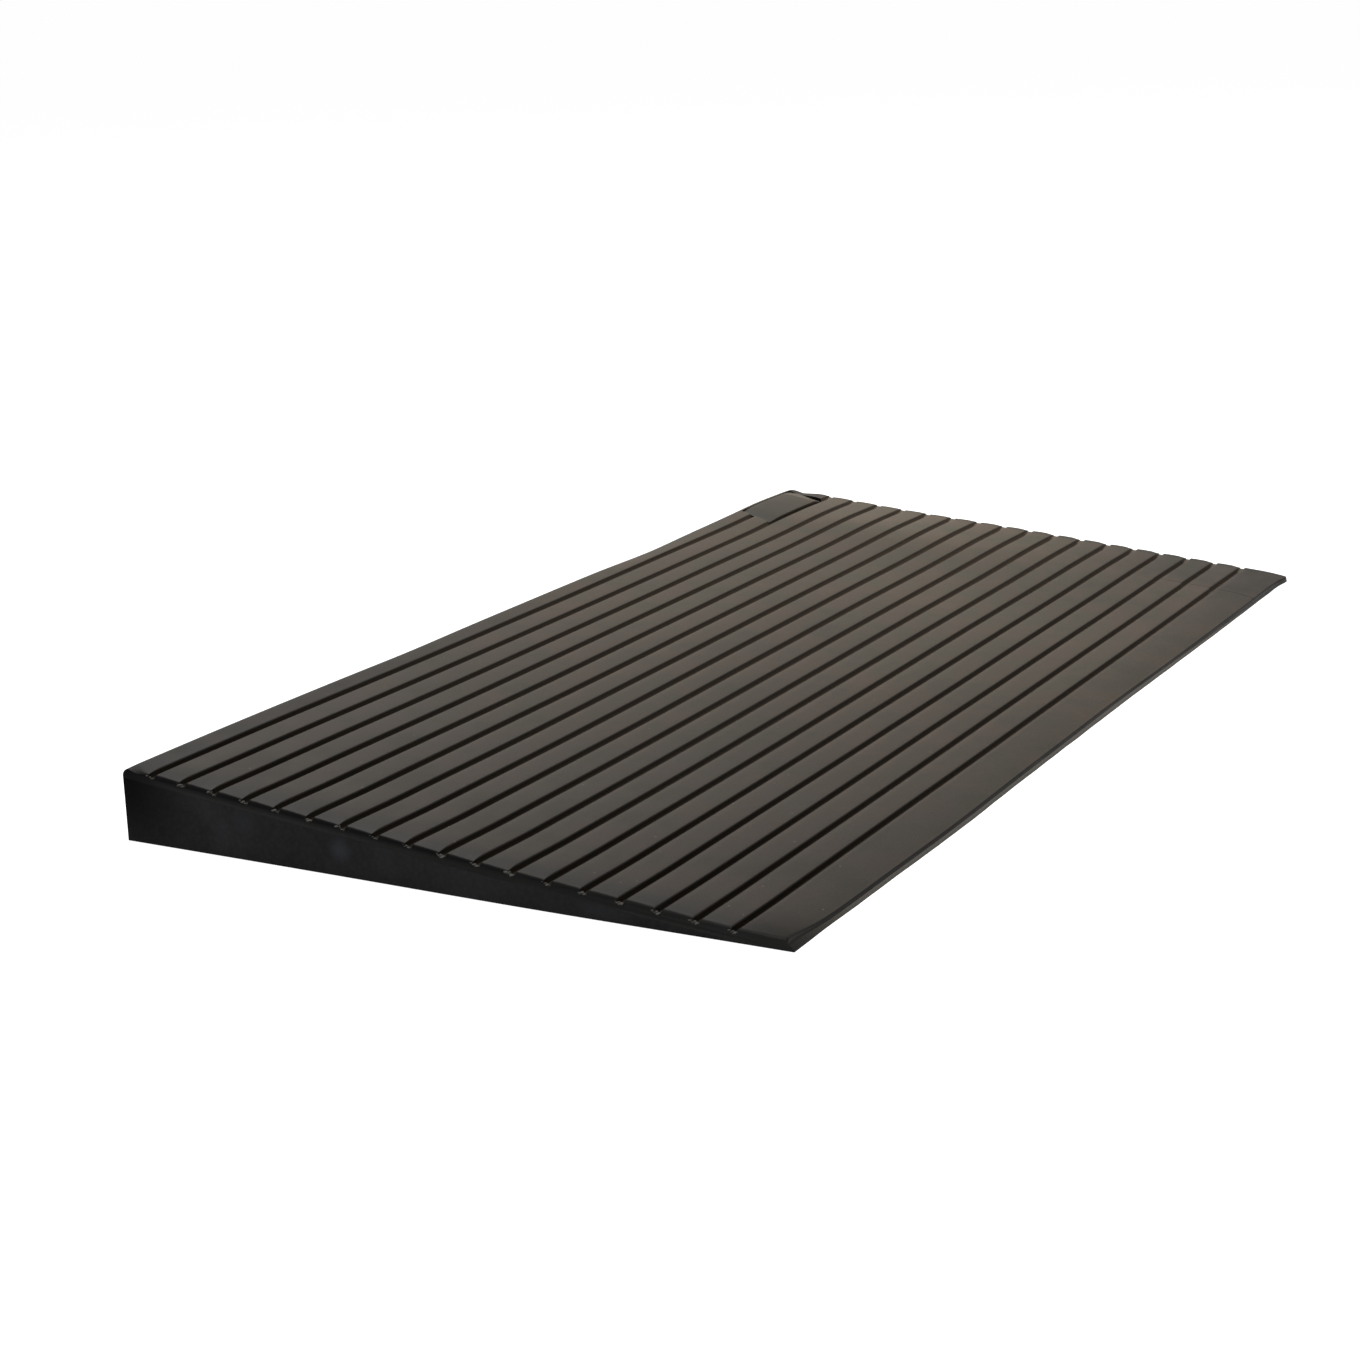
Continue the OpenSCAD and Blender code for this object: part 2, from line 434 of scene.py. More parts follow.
def near_end_fall(x, s, across):
    """Drop and darkness of a rib's near end, where the dust ends and shade is painted."""
    reach, fall = end_shape(NEAR_END, across)
    for start, full, corner_reach, corner_fall in NEAR_CORNERS:
        corner = soft_step(start, full, s)
        reach = between(reach, corner_reach, corner)
        fall = between(fall, corner_fall, corner)
    near = fade(HALF_L + x, reach)
    sag = NEAR_SAG * soft_step(*NEAR_SAG_DOWN, s) * fade(HALF_L + x, NEAR_SAG_REACH) ** 2
    drop = (fall * near ** NEAR_CURVE + sag) * soft_step(*NEAR_START_DOWN, s)
    return drop, soft_step(0, NEAR_DARK, near)


def far_end_fall(x, s, across):
    """Drop and painted shade of a rib's far end, which rounds less on the lower ribs and beside the plate.
    """
    reach, fall = end_shape(FAR_END, across)
    size = between(FAR_LEAST, 1, soft_step(*FAR_FULL_DOWN, s))
    size *= between(1, WALL_ROUND, soft_step(*WALL_ROUND_DOWN, s))
    near = fade(HALF_L - x, size * reach)
    tuck = FAR_TUCK * soft_step(*FAR_TUCK_ACROSS, across) * fade(HALF_L - x, FAR_TUCK_REACH) ** 2
    drop = size * fall * (1 - sqrt(max(1 - near * near, 0))) + tuck
    return drop, FAR_DARK * soft_step(*FAR_DARK_IN, HALF_L - x)


# How the dust lies, with a painted sheen line, in shares of the full dust
NEAR_DUST = 0.35  # dust left at the near end
NEAR_DUST_REACH = 40.0
HIGH_DUST = 0.45  # dust left on the near half of the high rib
HIGH_DUST_X = (-350, 150)
HIGH_DUST_DOWN = (FIRST_GROOVE - 3, FIRST_GROOVE + 3)
LAND_LOSS = (0.35, 0.1)  # dust missing on the land, at the near end and further on
LAND_LOSS_X = (-490, -420)
LAND_DOWN = (groove_at(GROOVE_N - 1), groove_at(GROOVE_N - 1) + 10)
FAR_LOSS = [(0.15, 150, 300), (0.14, 380, 440)]  # dust missing low down, as steps along X
FAR_LOSS_DOWN = (0.55 * TREAD_RUN, 0.8 * TREAD_RUN)
FAR_LAND_LOSS = [(0.1, 100, 200), (0.17, 330, 400)]  # further dust missing on the land
FAR_GAIN = 0.5  # further dust high up at the far end
FAR_GAIN_X = (350, 430)
FAR_GAIN_DOWN = (0.7 * TREAD_RUN, 0.3 * TREAD_RUN)
WALL_CLEAN = 0.6  # share of the dust that the wall beyond the plate lacks
WALL_CLEAN_X = (POCKET_X1 - 1, POCKET_X1)
WALL_CLEAN_DOWN = (groove_at(1), groove_at(1) - 8)
SIDE_SHEEN = 0.3  # painted sheen along a rib's high side, on the near half, added to the dust
SIDE_SHEEN_WIDTH = 0.35  # share of the rib over which that ends
SIDE_SHEEN_RIBS = (1, 6)  # numbers of the ribs between which that sets in
SIDE_SHEEN_X = (250, -150)
DEEP = (0.02, 0.5)  # shares of a groove's depth between which its own dust takes over
DEEP_IN = (-1, 6)

# Paler grey on the toe, which the dust attribute also holds: partly dust, partly painted light from the
# floor
TOE_PALE = (1.4, 2.4)  # values of the attribute that stand for none of that paler grey and for all of it
TOE_PALENESS = 1.0  # how pale the toe is drawn
TOE_PALENESS_IN = (-15, 110)
FAR_PALENESS = 0.8  # share of that paleness on the far half
TIP_CLEAN = 0.55  # share of that paleness that the far tip lacks
TIP_CLEAN_X = (330, 470)


def steps_at(x, steps):
    """Sum of soft steps at x, each given by its size and by where it starts and is complete."""
    return sum(size * soft_step(start, full, x) for size, start, full in steps)


def dust_at(x, s):
    """Share of the full dust at a place: less at the near end, on the high rib and low at the far end."""
    land = soft_step(*LAND_DOWN, s)
    near_end = between(NEAR_DUST, 1, soft_step(0, NEAR_DUST_REACH, HALF_L + x))
    near_end *= 1 - land * between(*LAND_LOSS, soft_step(*LAND_LOSS_X, x))
    high_rib = between(HIGH_DUST, 1, max(soft_step(*HIGH_DUST_DOWN, s), soft_step(*HIGH_DUST_X, x)))
    far_loss = steps_at(x, FAR_LOSS) * soft_step(*FAR_LOSS_DOWN, s) + steps_at(x, FAR_LAND_LOSS) * land
    high_far = 1 + FAR_GAIN * soft_step(*FAR_GAIN_X, x) * soft_step(*FAR_GAIN_DOWN, s)
    wall = soft_step(*WALL_CLEAN_X, x) * soft_step(*WALL_CLEAN_DOWN, s)
    return near_end * high_rib * (1 - far_loss) * high_far * (1 - WALL_CLEAN * wall)


def worn(x, s, across):
    """Drop and dust of the tread at a place, where the nearer end rounds it down and darkens it with
    painted shade.
    """
    drop, dark = near_end_fall(x, s, across) if x < 0 else far_end_fall(x, s, across)
    return drop, dust_at(x, s) * (1 - dark)


def side_sheen(x, i, across):
    """Factor on the dust along the high side of a rib, on the near half of the ramp: a painted sheen line.
    """
    lit = soft_step(*SIDE_SHEEN_RIBS, i) * soft_step(*SIDE_SHEEN_X, x)
    return 1 + SIDE_SHEEN * fade(across, SIDE_SHEEN_WIDTH) * lit


def toe_paleness(x):
    """The dust attribute on the toe at x."""
    far = between(1, FAR_PALENESS, soft_step(*FAR_TOE_X, x))
    pale = TOE_PALE[0] + TOE_PALENESS * soft_step(*TOE_PALENESS_IN, HALF_L + x) * far
    return between(pale, TOE_PALE[0], TIP_CLEAN * soft_step(*TIP_CLEAN_X, x))


def groove_half(radius):
    """Half of a groove's section as (distance from its middle, h), from its mouth to its floor."""
    turn = [pi / 2 * k / SHOULDER_STEPS for k in range(SHOULDER_STEPS + 1)]
    mouth = GROOVE_W / 2 + radius
    shoulder = [(mouth - radius * sin(a), radius * (cos(a) - 1)) for a in turn]
    return shoulder + [(wide * GROOVE_W, -deep * GROOVE_DEPTH) for wide, deep in GROOVE_FOOT]


GROOVE_SECTION = [(-away, h) for away, h in groove_half(UPPER_R)] + groove_half(LOWER_R)[::-1]


def rib_places(i, start, end):
    """Places across a rib, between its shoulders. The first rib also has the rim of the pocket."""
    if i == 0:
        rim = [RIM_W, RIM_W + WALL_DRAFT]
        return rim + [between(rim[1], end, k / RIB_POINTS) for k in range(1, RIB_POINTS)]
    return [between(start, end, k / (RIB_POINTS + 1)) for k in range(1, RIB_POINTS + 1)]


def roll_off(s):
    """Fall of the tread along its high edge."""
    return ROLL_DROP * fade(s, ROLL_REACH) ** 2


def rib_line(x, i, start, end):
    """The top of a rib at x, between its shoulders."""
    line = []
    for s in rib_places(i, start, end):
        across = (s - start) / (end - start)
        drop, dust = worn(x, s, across)
        crown = RIB_CROWN * arch(across) * (i > 0)
        line.append((s, min(crown, RIB_CROWN - drop) - roll_off(s), dust * side_sheen(x, i, across), 0))
    return line


def groove_line(x, i, middle, width):
    """A groove at x, from its upper mouth to its lower one."""
    line = []
    cut = groove_cut(i, x)
    for away, full_h in GROOVE_SECTION:
        s = middle + away * width
        across = 1 if away < 0 else 0
        drop, dust = worn(x, s, across)
        h = min(full_h * cut, -drop)
        deep = soft_step(*DEEP, -h * (cut > 0) / GROOVE_DEPTH) * soft_step(*DEEP_IN, HALF_L + x)
        line.append((s, h, dust * side_sheen(x, i + 1, across), deep))
    return line


def nose_back(x):
    """Set-back of the nose at x behind its place in the solids."""
    tip = max(x - HALF_L + TIP_R, 0)
    return swell(x, NOSE_SWELLS) - swell(x, LIP_SWELLS) + TIP_R - sqrt(max(TIP_R ** 2 - tip ** 2, 0))


def land_line(x, start):
    """The plain land at x, from the last groove to where the nose takes over."""
    line = []
    last = TREAD_RUN - NOSE_REACH - nose_back(x)
    for k in range(1, LAND_POINTS + 1):
        s = between(start, last, k / LAND_POINTS)
        drop, dust = worn(x, s, MID_RIB)
        bend = (LAND_FALL + swell(x, LAND_SWELLS)) * fade(last - s, LAND_REACH) ** 2
        line.append((s, -drop - bend, dust, 0))
    return line


def tread_line(x):
    """The ribbed top at x, from the high edge to the lip, as (s, h, dust, depth in a groove)."""
    line = []
    start = REAR_TANGENT
    for i in range(GROOVE_N):
        middle = groove_middle(i, x)
        width = groove_width(middle)
        line += rib_line(x, i, start, middle - UPPER_MOUTH * width)
        line += groove_line(x, i, middle, width)
        start = middle + LOWER_MOUTH * width
    return line + land_line(x, start)


def sunk(x, s, h):
    """Height of a tread point where the plate's pocket or the insert mark takes it down."""
    if RIM_W + WALL_DRAFT <= s <= groove_at(1) + GROOVE_W / 4:
        h += pocket_share(x) * (min(h, -POCKET_DEPTH) - h)
    if x > POCKET_X1 - WALL_DRAFT:
        h -= WALL_FALL * soft_step(*WALL_FALL_DOWN, s) * soft_step(*WALL_RIM_DOWN, s)
    bow = MARK_BOW * sin(pi * (TREAD_RUN - s) / (TREAD_RUN - MARK_BOW_FROM))
    mark = fade(abs(x - MARK_X - bow), MARK_W)
    return h - MARK_DEPTH * mark * soft_step(*MARK_DOWN, s)


def crest_points(x):
    """The rounded high edge at x."""
    points = []
    for k in range(CREST_STEPS + 1):
        turn = between(0, pi / 2 + SLOPE, k / CREST_STEPS)
        y = CREST_Y + REAR_EDGE_R * cos(turn)
        z = CREST_Z + REAR_EDGE_R * sin(turn)
        s = (REAR_Y - y) / cos(SLOPE)
        drop, dust = worn(x, s, MID_RIB)
        fallen = z - (drop + roll_off(s)) * (z - CREST_Z) / REAR_EDGE_R
        points.append((y, fallen, dust, 0))
    return points


def lip_points(x, top_y, top_z, dust):
    """The rounded nose and the thin toe at x, from the land's last point down to the floor."""
    points = []
    nose = NOSE_Y + nose_back(x)
    toe_h = TOE_H * (1 + NEAR_TOE * soft_step(*NEAR_TOE_X, x) + FAR_TOE * soft_step(*FAR_TOE_X, x))
    for k in range(1, NOSE_STEPS + 1):
        turn = pi / 2 * k / NOSE_STEPS
        y = between(top_y, nose, sin(turn))
        z = between(toe_h, top_z, cos(turn))
        points.append((y, z, dust * fade(k, NOSE_DUST), 0))
    uneven = TOE_UNEVEN * noise.noise(Vector((x / TOE_UNEVEN_L, TOE_SEED, OFF_GRID)))
    toe = max(TOE_W + swell(x, NOSE_SWELLS) - edge_inset(x) + uneven, TOE_LEAST)
    pale = toe_paleness(x)
    points += [(nose - out * toe, up * toe_h, pale, 0) for out, up in TOE_PROFILE]
    return points + [(nose - toe, 0, 0, 0)]


def wear_section(x):
    """The wear layer's closed section at x, as (y, z, dust, depth in a groove) points."""
    points = [(REAR_Y, REAR_Z - WEAR_DROP, 0, 0)]
    points += crest_points(x)
    for s, h, dust, deep in tread_line(x):
        points.append((*on_slope(s, sunk(x, s, h)), dust, deep))
    points += lip_points(x, *points[-1][:3])
    points.append((CORE_FRONT_Y, 0, 0, 0))
    return points + [(y, tread_z(y) - WEAR_DROP, 0, 0) for y in SEAM_PLACES[:-1]]


def wear_layer(material):
    """The ribbed top: every section along the ramp, joined from end to end."""
    places = stations()
    points = []
    looks = {"dust": [], "groove": []}
    for x in places:
        for y, z, dust, deep in wear_section(x):
            points.append(settled(*eased(x, y, z)))
            looks["dust"].append(dust)
            looks["groove"].append(deep)
    faces = loft_faces(len(places), len(points) // len(places))
    piece = add_piece("ribbed_tread", points, faces, material, "tread_rubber", "wear_layer")
    for name, values in looks.items():
        piece.data.attributes.new(name, "FLOAT", "POINT").data.foreach_set("value", values)
    return piece


def crumb_core(material):
    """The wedge under the tread. Its end faces are a little uneven, as pressed crumb is."""
    places = stations()
    points = []
    for column, y in enumerate(SEAM_PLACES):
        top = tread_z(y) - WEAR_DROP
        heights = [top * row / CORE_ROWS for row in range(1, CORE_ROWS)]
        ring = [(x, 0) for x in places] + [(HALF_L, z) for z in heights]
        ring += [(x, top) for x in reversed(places)] + [(-HALF_L, z) for z in reversed(heights)]
        for x, z in ring:
            lump = 0
            if abs(x) == HALF_L:
                inner = sin(pi * z / top) * sin(pi * column / SEAM_STEPS) ** LUMP_EASE
                lump = LUMP * inner * noise.noise(Vector((y / LUMP_SIZE[0], z / LUMP_SIZE[1], x)))
            points.append(settled(*eased(x, y, z)) + Vector((lump * MM, 0, 0)))
    faces = loft_faces(len(SEAM_PLACES), len(points) // len(SEAM_PLACES))
    return add_piece("crumb_wedge", points, faces, material, "core_rubber", "crumb_core")


def slab(name, places, edges, base, height, skew, material, slot, node):
    """A slab that lies in the pocket: sections along X between two edges, with its upper edges rounded."""
    corner = [pi / 2 * k / SLAB_TURN for k in range(SLAB_TURN + 1)]
    points = []
    for x in places:
        s0, s1 = edges(x)
        h0 = height(x, s0)
        h1 = height(x, s1)
        r = min(SLAB_EDGE * (h0 - base), SLAB_EDGE_MOST)
        inner = [between(s0, s1, k / SLAB_STEPS) for k in range(1, SLAB_STEPS)]
        section = [(s0, base)]
        section += [(s0 + r * (1 - cos(a)), h0 - r * (1 - sin(a))) for a in corner]
        section += [(s, height(x, s)) for s in inner]
        section += [(s1 - r * (1 - sin(a)), h1 - r * (1 - cos(a))) for a in corner]
        section += [(s1, base)]
        points += [settled(x + skew(x, s), *on_slope(s, h)) for s, h in section]
    faces = loft_faces(len(places), len(points) // len(places))
    return add_piece(name, points, faces, material, slot, node)


def plate_height(x, s):
    """Height of the blank plate's face, which falls in a soft bevel at its near end and a crisp far one."""
    near = NEAR_BEVEL_DROP * (1 - soft_step(0, NEAR_BEVEL_L, x - PLATE_X0))
    far = between(*FAR_BEVEL_DROP, soft_step(*FAR_BEVEL_DOWN, s)) * fade(PLATE_X1 - x, FAR_BEVEL_L)
    return -PLATE_SINK - near - far - roll_off(s)


def name_plate(material):
    """The blank plate let into the high corner, with a bevel at each end."""
    bevel_x = PLATE_X1 - FAR_BEVEL_L
    places = [between(PLATE_X0, PLATE_X1, k / PLATE_STEPS) for k in range(PLATE_STEPS + 1)]
    places += [PLATE_X0 + PLATE_CRISP, bevel_x - BEVEL_CRISP, bevel_x + BEVEL_CRISP, PLATE_X1 - PLATE_CRISP]
    s0 = RIM_W + WALL_DRAFT + PLATE_PLAY
    s1 = groove_at(1) - GROOVE_W / 2

    def skew(x, s):
        """The far edge is cut askew, so that a gap opens towards the plate's low corner."""
        opened = soft_step(FAR_SKEW_FROM, s1, s)
        return -FAR_SKEW * opened * soft_step(PLATE_X1 - 2 * FAR_BEVEL_L, PLATE_X1, x)

    return slab("blank_plate", sorted(places), lambda x: (s0, s1), -PLATE_SINK - PLATE_T, plate_height,
                skew, material, "plate_rubber", "name_plate")


def plate_adhesive(material):
    """The film under the plate, with an edge that has crept unevenly."""
    length = PLATE_X1 - PLATE_X0 - 2 * FILM_INSET
    places = [PLATE_X0 + FILM_INSET + length * k / FILM_STEPS for k in range(FILM_STEPS + 1)]
    s0 = RIM_W + PLATE_GAP + FILM_INSET
    s1 = groove_at(1) - GROOVE_W / 2 - FILM_INSET

    def crept(x):
        """The film's two edges at x."""
        creep = [CREEP * noise.noise(Vector((x / CREEP_L, seed, OFF_GRID))) for seed in CREEP_SEED]
        return s0 + creep[0], s1 + creep[1]

    return slab("adhesive_film", places, crept, -POCKET_DEPTH, lambda x, s: FILM_T - POCKET_DEPTH,
                lambda x, s: 0, material, "adhesive", "plate_adhesive")


def torn_crumb(seed, size):
    """Points and faces of a ragged crumb round its own middle."""
    lump = bmesh.new()
    bmesh.ops.create_icosphere(lump, subdivisions=2, radius=1)
    lump.verts.index_update()
    points = []
    for vert in lump.verts:
        ragged = 1 + FLASH_RAGGED * noise.noise(vert.co * FLASH_RAGS + seed)
        points.append(vert.co * ragged * size)
    faces = [[vert.index for vert in face.verts] for face in lump.faces]
    lump.free()
    return points, faces


def groove_flash(material):
    """Torn crumbs of mould flash, left along each groove's rim where it runs out through an end."""
    points = []
    faces = []
    runs = [(-1, 1.0, i) for i in range(GROOVE_N)]
    runs += [(1, FAR_FLASH, i) for i in range(1, GROOVE_N)]
    for end, size, i in runs:
        middle = groove_middle(i, end * HALF_L)
        for crumb, (along, deep, wide, tall) in enumerate(FLASH):
            seed = Vector((FLASH_SEED[0] * i + FLASH_SEED[1] * end, FLASH_SEED[2] * crumb, OFF_GRID))
            crumb_points, crumb_faces = torn_crumb(seed, size * (1 + FLASH_VARIES * noise.noise(seed)))
            faces += [[len(points) + k for k in face] for face in crumb_faces]
            for out, over, up in crumb_points:
                y, z = on_slope(middle + along + wide * over, deep + tall * up)
                points.append(settled(end * (HALF_L - FLASH_IN + FLASH_OUT * out), y, z))
    return add_piece("groove_flash", points, faces, material, "tread_rubber")


# Colours
DUST_NEAR = "#251f18"  # dust on the rib tops at the near end
DUST_FAR = "#40382d"  # paler, browner dust at the far end
DUST_GRIT = "#8c8578"  # specks of pale grit in the dust
CLEAN_RUBBER = "#0f0d0a"  # rubber that no dust lies on
GROOVE_NEAR = "#1b160f"
GROOVE_FAR = "#5e5347"  # floor of a groove that has caught dust, at the far end
END_BLACK = "#030303"  # painted shade on the end faces, under the rib ends and at the near end's high corner
END_GREY = "#252423"  # the end faces' own colour, lower down, away from the painted shade
TOE_GREY = "#4d4a44"  # paler grey of the toe: partly dust, partly painted light from the floor
CRUMB_PALE = "#262627"  # middle of a granule of the core
CRUMB_DARK = "#1c1c1c"
CRUMB_RUBBED = "#36383c"  # the core where it has been rubbed
PLATE_NEAR = "#2f2c25"
PLATE_FAR = "#3b3327"
# Painted sheen on the plate's far bevel, which tilts towards the far end
PLATE_BEVEL_SHEEN = "#4c443a"
FLASH_DARK = "#1e1d1b"
FLASH_PALE = "#4b4844"  # stretched tears in the flash
FILM_DARK = "#7d7866"
FILM_PALE = "#989486"  # the film where it is cloudy

# Factors on the dust's red, green, blue and alpha, between which it is mottled
WARM_DUST = (1.07, 0.97, 0.93, 1.0)
COOL_DUST = (0.9, 1.0, 1.0, 1.0)

# Spacing of the patterns' features. The two grains are drawn coarser than real ones, so that they show.
DUST_MOTTLE = 38.0
DUST_CLOUD = 150.0
GRIT_SPACING = 17.0
TREAD_GRAIN = 1.6
GRANULE = 3.5
CORE_SMUDGE = 45.0
PLATE_HAZE = 40.0
PLATE_GRAIN = 1.2
FLASH_TEAR = 2.0
FILM_BUBBLE = 2.5
FILM_CLOUD = 12.0

# How shiny and how rough each surface is. A pair holds the roughness at a pattern's low and high values.
RUBBER_IOR = 1.5  # also that of the adhesive
TREAD_GLOSS = 0.072  # specular levels
CORE_GLOSS = 0.07
PLATE_GLOSS = 0.07
FLASH_GLOSS = 0.15
FILM_GLOSS = 0.5
TREAD_ROUGH = (0.41, 0.49)
CORE_ROUGH = (0.72, 0.6)
PLATE_ROUGH = (0.42, 0.5)
FLASH_ROUGH = (0.6, 0.75)
FILM_ROUGH = (0.35, 0.5)

# Where the tread's looks change
DUST_TILT = (0.72, 0.97)  # upward parts of a face's normal between which dust comes to lie
END_TILT = (0.4, 0.8)  # sideways parts between which a face comes to be an end face
BAND_DEPTH = (7, 2)  # depths below the rib tops between which an end face turns black with painted shade
BAND_LOW = 0.2  # share of that black band that is left at the lip
END_DULL = 0.3  # further roughness of the end faces where the painted shade makes them black
HIGH_SHADE = (76, 1.0)  # reach and strength of the painted shade at the near end's high corner
LOW_DULL = (60, 0.3)  # reach and further roughness of the rubbed tread at its low corner

# Pale marks rubbed on the near end: place up the slope, height, reach and strength of each
RUB_MARKS = [(149, 26, 17, 0.35), (73, 18, 12, 0.9), (-38, 14, 75, 0.2)]

# The middle part of a noise texture's range, which holds most of its values
NOISE_SPAN = {"From Min": 0.3, "From Max": 0.7}

# Inputs of a colour Mix node, which share their names with those of its other kinds
MIX_SHARE = 0
MIX_A = 6
MIX_B = 7


def linear(hex_code):
    """An sRGB hex colour as the linear colour that a shader takes."""
    channels = [int(hex_code[k:k + 2], 16) / 255 for k in (1, 3, 5)]
    return [c / 12.92 if c <= 0.04045 else ((c + 0.055) / 1.055) ** 2.4 for c in channels] + [1.0]


def scaled(place, size):
    """Inputs of a pattern whose features are this many millimetres apart."""
    return {"Vector": place, "Scale": 1 / (size * MM)}


def add_node(tree, kind, inputs=None, **settings):
    """Adds a node. Each input is a value, a hex colour, or a node or one of its outputs to link from."""
    node = tree.nodes.new("ShaderNode" + kind)
    for name, value in settings.items():
        setattr(node, name, value)
    for socket, value in (inputs or {}).items():
        if isinstance(value, str):
            value = linear(value)
        if isinstance(value, bpy.types.Node):
            value = next(output for output in value.outputs if output.enabled)
        if isinstance(value, bpy.types.NodeSocket):
            tree.links.new(value, node.inputs[socket])
        else:
            node.inputs[socket].default_value = value
    return node


def span(side, ends):
    """Both ends of a Map Range node's range, on its From side or on its To side."""
    return {side + " Min": ends[0], side + " Max": ends[1]}


def new_material(name):
    """An empty node material, and the function that adds nodes to it."""
    material = bpy.data.materials.new(name)
    material.use_nodes = True
    material.node_tree.nodes.clear()
    return material, partial(add_node, material.node_tree)


def surface(add, colour, roughness, relief, specular):
    """A material's finished surface. The relief is a pattern, its strength and height."""
    pattern, strength, height = relief
    bump = add("Bump", {"Height": pattern, "Strength": strength, "Distance": height * MM})
    shader = add("BsdfPrincipled", {
        "Base Color": colour, "Roughness": roughness, "Normal": bump,
        "IOR": RUBBER_IOR, "Specular IOR Level": specular})
    add("OutputMaterial", {"Surface": shader})


def spread(add, place, middle, reach, strength):
    """A soft round patch: its strength at its middle, which is in millimetres, and 0 at its reach."""
    away = add("VectorMath", {0: place, 1: Vector(middle) * MM}, operation="DISTANCE")
    return add("MapRange", {
        "Value": away, "From Max": reach * MM, "To Min": strength, "To Max": 0.0},
        interpolation_type="SMOOTHSTEP")


def dusty_top(add, place, along, mottles, held):
    """Colour of the rib tops: clean rubber under patchy, mottled dust that is paler at the far end."""
    clouds = add("TexNoise", {**scaled(place, DUST_CLOUD), "Detail": 2.0})
    patchy = add("MapRange", {"Value": clouds, **NOISE_SPAN, "To Min": 0.82, "To Max": 1.0})
    amount = add("Math", {0: held, 1: patchy}, operation="MULTIPLY")
    far = add("MapRange", {"Value": along, "From Min": -HALF_L * MM, "From Max": 0.5 * HALF_L * MM})
    dust = add("Mix", {MIX_SHARE: far, MIX_A: DUST_NEAR, MIX_B: DUST_FAR}, data_type="RGBA")
    mottle = add("MapRange", {"Value": mottles, "From Min": 0.36, "From Max": 0.64})
    tint = add("Mix", {MIX_SHARE: mottle, MIX_A: WARM_DUST, MIX_B: COOL_DUST}, data_type="RGBA")
    stained = add("Mix", {
        MIX_SHARE: 1.0, MIX_A: dust, MIX_B: tint},
        data_type="RGBA", blend_type="MULTIPLY")
    return add("Mix", {
        MIX_SHARE: amount, MIX_A: CLEAN_RUBBER, MIX_B: stained},
        data_type="RGBA", clamp_factor=False)


def groove_floors(add, spot):
    """Colour of the groove floors, which hold more dust towards the far end and high on the slope."""
    caught = add("MapRange", {
        "Value": spot["X"], "From Min": -0.85 * HALF_L * MM, "From Max": 0.9 * HALF_L * MM})
    washed = add("MapRange", {
        "Value": spot["Y"], "From Min": -0.25 * RAMP_D * MM, "From Max": 0.05 * RAMP_D * MM,
        "To Min": 0.65, "To Max": 1.0})
    kept = add("Math", {0: caught, 1: washed}, operation="MULTIPLY")
    return add("Mix", {MIX_SHARE: kept, MIX_A: GROOVE_NEAR, MIX_B: GROOVE_FAR}, data_type="RGBA")


def end_shade(add, place, up_slope):
    """Painted shade on an end face: a band under the rib ends, and the near end's high corner."""
    height = add("VectorMath", {
        0: place, 1: (0, -sin(SLOPE), cos(SLOPE))}, operation="DOT_PRODUCT")
    top = REAR_Z * cos(SLOPE) - REAR_Y * sin(SLOPE)
    shaded = add("MapRange", {
        "Value": height,
        "From Min": (top - BAND_DEPTH[0]) * MM, "From Max": (top - BAND_DEPTH[1]) * MM})
    fading = add("MapRange", {
        "Value": up_slope, "From Min": -REAR_Y * MM, "From Max": 0.0, "To Min": BAND_LOW, "To Max": 1.0})
    band = add("Math", {0: shaded, 1: fading}, operation="MULTIPLY")
    high = spread(add, place, (-HALF_L, REAR_Y, REAR_Z), *HIGH_SHADE)
    return add("Math", {0: band, 1: high}, operation="MAXIMUM")


